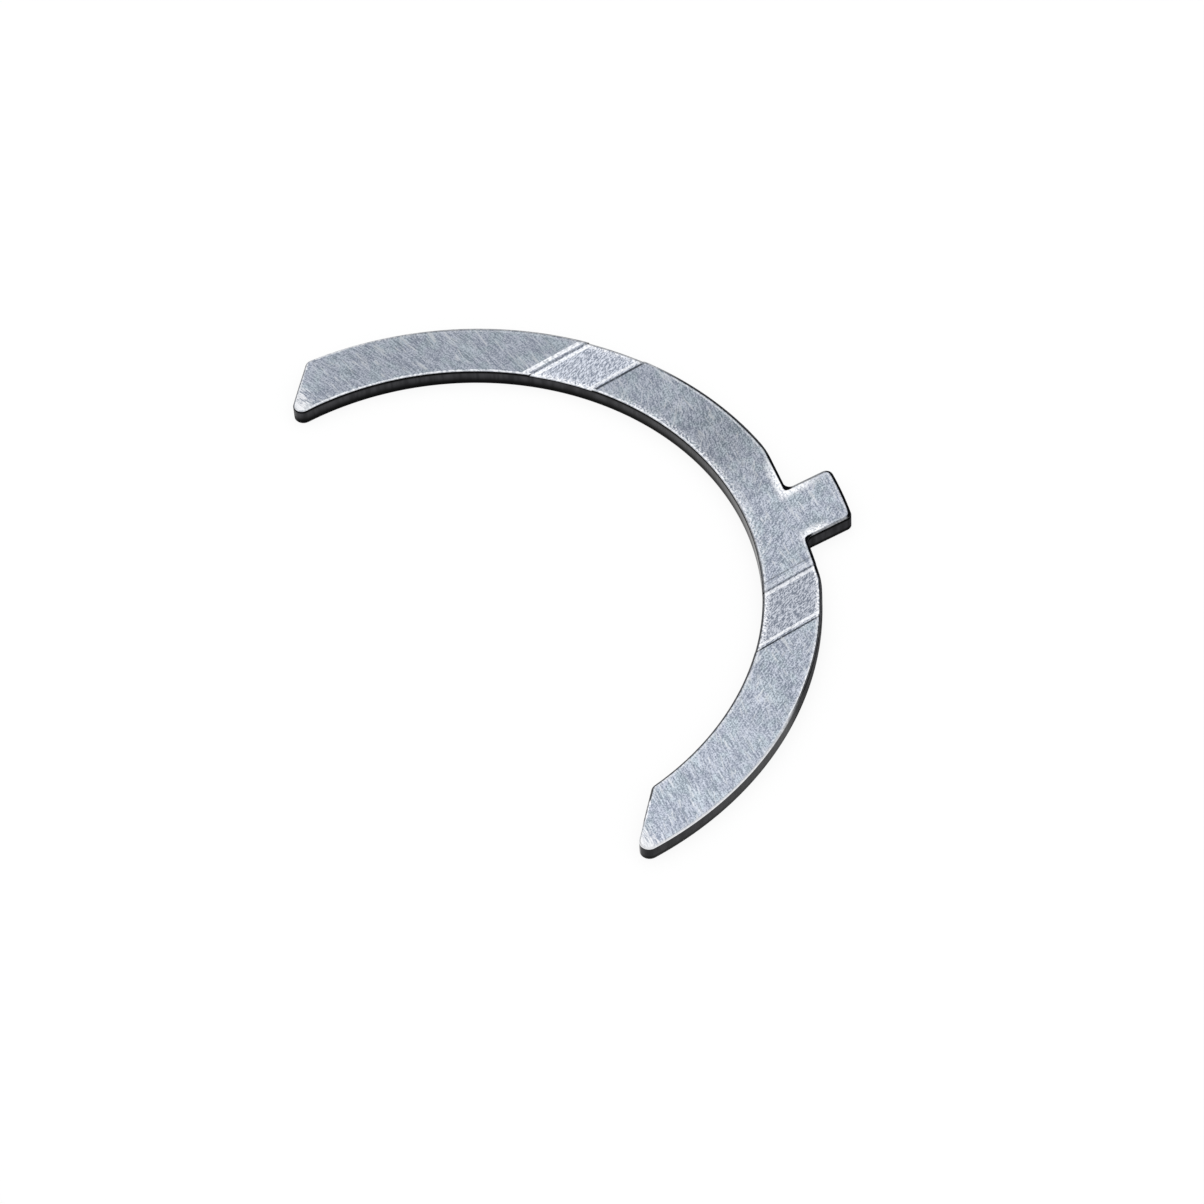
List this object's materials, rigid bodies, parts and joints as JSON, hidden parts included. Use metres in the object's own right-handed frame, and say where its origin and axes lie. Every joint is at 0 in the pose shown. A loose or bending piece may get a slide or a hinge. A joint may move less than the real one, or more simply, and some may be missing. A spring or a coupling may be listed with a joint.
{
  "type": "crankshaft thrust washer",
  "caption": "Half-ring crankshaft thrust washer with an offset locating tab, slanting ends and shallow oil grooves across its thrust face.",
  "frame": {"origin": "on the crankshaft's axis, at the centre of the half ring's bore, in the plane of the flat back face", "axes": "+Z out of the grooved thrust face, +Y through the middle of the half ring, +X across it, with the tab on the +X side"},
  "size_m": [0.0878, 0.0498, 0.0023],
  "materials": {
    "washer_metal": "finely scratched blue-grey bearing face with a dark sheared edge"
  },
  "bodies": {
    "root": {"thrust_washer": "washer_metal"}
  },
  "joints": []
}
